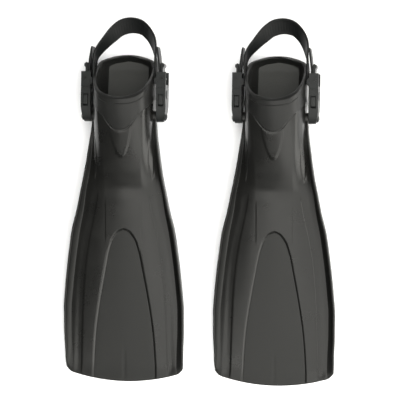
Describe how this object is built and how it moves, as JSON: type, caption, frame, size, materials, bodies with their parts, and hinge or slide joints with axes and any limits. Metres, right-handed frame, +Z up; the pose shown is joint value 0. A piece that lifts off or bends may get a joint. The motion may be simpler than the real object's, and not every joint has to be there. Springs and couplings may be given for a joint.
{
  "type": "pair of open-heel swim fins",
  "caption": "Open-heel swim fins with long flared blades, side rails, raised centre panels, rubber foot pockets and quick-release buckled heel straps.",
  "frame": {"origin": "on the floor under the middle of the pair's bounding box", "axes": "+Z up, +Y from the blade tips to the heels, +X to the right seen from above with the heels away from the viewer"},
  "size_m": [0.4758, 0.636, 0.1061],
  "materials": {
    "blade_plastic": "satin",
    "panel_rubber": "matte",
    "rail_rubber": "matte",
    "pocket_rubber": "satin",
    "sole_rubber": "matte",
    "strap_rubber": "satin",
    "buckle_plastic": "satin",
    "lever_plastic": "satin",
    "button_plastic": "satin",
    "pin_steel": "satin",
    "spring_steel": "bright"
  },
  "bodies": {
    "left_fin": {"left_blade": "blade_plastic", "left_blade_panel": "panel_rubber", "left_outer_rail": "rail_rubber", "left_inner_rail": "rail_rubber", "left_foot_pocket": "pocket_rubber", "left_footbed": "pocket_rubber", "left_outsole": "sole_rubber", "left_post_caps": "buckle_plastic", "left_outer_post": "blade_plastic", "left_inner_post": "blade_plastic"},
    "left_outer_socket": {"left_outer_socket": "buckle_plastic"},
    "left_outer_clip": {"left_outer_clip": "buckle_plastic", "left_outer_strap_roller": "pin_steel", "left_outer_strap_tail": "strap_rubber", "left_outer_lever_pin": "pin_steel", "left_outer_lever_spring": "spring_steel"},
    "left_outer_ratchet_lever": {"left_outer_ratchet_lever": "lever_plastic"},
    "left_outer_release_top": {"left_outer_release_top": "button_plastic"},
    "left_outer_release_bottom": {"left_outer_release_bottom": "button_plastic"},
    "left_inner_socket": {"left_inner_socket": "buckle_plastic"},
    "left_inner_clip": {"left_inner_clip": "buckle_plastic", "left_inner_strap_roller": "pin_steel", "left_inner_strap_tail": "strap_rubber", "left_inner_lever_pin": "pin_steel", "left_inner_lever_spring": "spring_steel"},
    "left_inner_ratchet_lever": {"left_inner_ratchet_lever": "lever_plastic"},
    "left_inner_release_top": {"left_inner_release_top": "button_plastic"},
    "left_inner_release_bottom": {"left_inner_release_bottom": "button_plastic"},
    "left_strap": {"left_heel_strap": "strap_rubber"},
    "right_fin": {"right_blade": "blade_plastic", "right_blade_panel": "panel_rubber", "right_outer_rail": "rail_rubber", "right_inner_rail": "rail_rubber", "right_foot_pocket": "pocket_rubber", "right_footbed": "pocket_rubber", "right_outsole": "sole_rubber", "right_post_caps": "buckle_plastic", "right_outer_post": "blade_plastic", "right_inner_post": "blade_plastic"},
    "right_outer_socket": {"right_outer_socket": "buckle_plastic"},
    "right_outer_clip": {"right_outer_clip": "buckle_plastic", "right_outer_strap_roller": "pin_steel", "right_outer_strap_tail": "strap_rubber", "right_outer_lever_pin": "pin_steel", "right_outer_lever_spring": "spring_steel"},
    "right_outer_ratchet_lever": {"right_outer_ratchet_lever": "lever_plastic"},
    "right_outer_release_top": {"right_outer_release_top": "button_plastic"},
    "right_outer_release_bottom": {"right_outer_release_bottom": "button_plastic"},
    "right_inner_socket": {"right_inner_socket": "buckle_plastic"},
    "right_inner_clip": {"right_inner_clip": "buckle_plastic", "right_inner_strap_roller": "pin_steel", "right_inner_strap_tail": "strap_rubber", "right_inner_lever_pin": "pin_steel", "right_inner_lever_spring": "spring_steel"},
    "right_inner_ratchet_lever": {"right_inner_ratchet_lever": "lever_plastic"},
    "right_inner_release_top": {"right_inner_release_top": "button_plastic"},
    "right_inner_release_bottom": {"right_inner_release_bottom": "button_plastic"},
    "right_strap": {"right_heel_strap": "strap_rubber"}
  },
  "joints": [
    {"name": "left_outer_swing", "type": "hinge", "parent": "left_fin", "child": "left_outer_socket", "pos_m": [-0.198, 0.145, 0.047], "axis": [1, 0, 0], "range_deg": [-5, 95]},
    {"name": "left_outer_unclip", "type": "slide", "parent": "left_outer_socket", "child": "left_outer_clip", "axis": [0, 1, 0], "range_m": [0, 0.036], "deforming": ["left_outer_release_top", "left_outer_release_bottom"]},
    {"name": "left_outer_release_top_press", "type": "slide", "parent": "left_outer_clip", "child": "left_outer_release_top", "axis": [0, 0, -1], "range_m": [0, 0.0025], "stiffness_N_per_m": 1500},
    {"name": "left_outer_release_bottom_press", "type": "slide", "parent": "left_outer_clip", "child": "left_outer_release_bottom", "axis": [0, 0, 1], "range_m": [0, 0.0025], "stiffness_N_per_m": 1500},
    {"name": "left_outer_lever_lift", "type": "hinge", "parent": "left_outer_clip", "child": "left_outer_ratchet_lever", "pos_m": [-0.1995, 0.211, 0.047], "axis": [0, 0, 1], "range_deg": [0, 35], "stiffness_Nm_per_rad": 0.08, "springref_deg": -5.73},
    {"name": "left_inner_swing", "type": "hinge", "parent": "left_fin", "child": "left_inner_socket", "pos_m": [-0.066, 0.145, 0.047], "axis": [1, 0, 0], "range_deg": [-5, 95]},
    {"name": "left_inner_unclip", "type": "slide", "parent": "left_inner_socket", "child": "left_inner_clip", "axis": [0, 1, 0], "range_m": [0, 0.036], "deforming": ["left_inner_release_top", "left_inner_release_bottom"]},
    {"name": "left_inner_release_top_press", "type": "slide", "parent": "left_inner_clip", "child": "left_inner_release_top", "axis": [0, 0, -1], "range_m": [0, 0.0025], "stiffness_N_per_m": 1500},
    {"name": "left_inner_release_bottom_press", "type": "slide", "parent": "left_inner_clip", "child": "left_inner_release_bottom", "axis": [0, 0, 1], "range_m": [0, 0.0025], "stiffness_N_per_m": 1500},
    {"name": "left_inner_lever_lift", "type": "hinge", "parent": "left_inner_clip", "child": "left_inner_ratchet_lever", "pos_m": [-0.0645, 0.211, 0.047], "axis": [0, 0, -1], "range_deg": [0, 35], "stiffness_Nm_per_rad": 0.08, "springref_deg": -5.73},
    {"name": "left_strap_feed", "type": "slide", "parent": "left_outer_clip", "child": "left_strap", "axis": [0, 1, 0], "range_m": [0, 0.012]},
    {"name": "right_outer_swing", "type": "hinge", "parent": "right_fin", "child": "right_outer_socket", "pos_m": [0.198, 0.145, 0.047], "axis": [1, 0, 0], "range_deg": [-5, 95]},
    {"name": "right_outer_unclip", "type": "slide", "parent": "right_outer_socket", "child": "right_outer_clip", "axis": [0, 1, 0], "range_m": [0, 0.036], "deforming": ["right_outer_release_top", "right_outer_release_bottom"]},
    {"name": "right_outer_release_top_press", "type": "slide", "parent": "right_outer_clip", "child": "right_outer_release_top", "axis": [0, 0, -1], "range_m": [0, 0.0025], "stiffness_N_per_m": 1500},
    {"name": "right_outer_release_bottom_press", "type": "slide", "parent": "right_outer_clip", "child": "right_outer_release_bottom", "axis": [0, 0, 1], "range_m": [0, 0.0025], "stiffness_N_per_m": 1500},
    {"name": "right_outer_lever_lift", "type": "hinge", "parent": "right_outer_clip", "child": "right_outer_ratchet_lever", "pos_m": [0.1995, 0.211, 0.047], "axis": [0, 0, -1], "range_deg": [0, 35], "stiffness_Nm_per_rad": 0.08, "springref_deg": -5.73},
    {"name": "right_inner_swing", "type": "hinge", "parent": "right_fin", "child": "right_inner_socket", "pos_m": [0.066, 0.145, 0.047], "axis": [1, 0, 0], "range_deg": [-5, 95]},
    {"name": "right_inner_unclip", "type": "slide", "parent": "right_inner_socket", "child": "right_inner_clip", "axis": [0, 1, 0], "range_m": [0, 0.036], "deforming": ["right_inner_release_top", "right_inner_release_bottom"]},
    {"name": "right_inner_release_top_press", "type": "slide", "parent": "right_inner_clip", "child": "right_inner_release_top", "axis": [0, 0, -1], "range_m": [0, 0.0025], "stiffness_N_per_m": 1500},
    {"name": "right_inner_release_bottom_press", "type": "slide", "parent": "right_inner_clip", "child": "right_inner_release_bottom", "axis": [0, 0, 1], "range_m": [0, 0.0025], "stiffness_N_per_m": 1500},
    {"name": "right_inner_lever_lift", "type": "hinge", "parent": "right_inner_clip", "child": "right_inner_ratchet_lever", "pos_m": [0.0645, 0.211, 0.047], "axis": [0, 0, 1], "range_deg": [0, 35], "stiffness_Nm_per_rad": 0.08, "springref_deg": -5.73},
    {"name": "right_strap_feed", "type": "slide", "parent": "right_outer_clip", "child": "right_strap", "axis": [0, 1, 0], "range_m": [0, 0.012]},
    {"name": "right_fin_apart", "type": "slide", "parent": "left_fin", "child": "right_fin", "axis": [1, 0, 0], "range_m": [0, 0.15]}
  ],
  "couplings": [
    {"joint": "left_outer_release_bottom_press", "follows": "left_outer_release_top_press", "ratio": 1},
    {"joint": "left_inner_release_bottom_press", "follows": "left_inner_release_top_press", "ratio": 1},
    {"joint": "left_inner_swing", "follows": "left_outer_swing", "ratio": 1},
    {"joint": "left_inner_unclip", "follows": "left_outer_unclip", "ratio": 1},
    {"joint": "right_outer_release_bottom_press", "follows": "right_outer_release_top_press", "ratio": 1},
    {"joint": "right_inner_release_bottom_press", "follows": "right_inner_release_top_press", "ratio": 1},
    {"joint": "right_inner_swing", "follows": "right_outer_swing", "ratio": 1},
    {"joint": "right_inner_unclip", "follows": "right_outer_unclip", "ratio": 1}
  ]
}
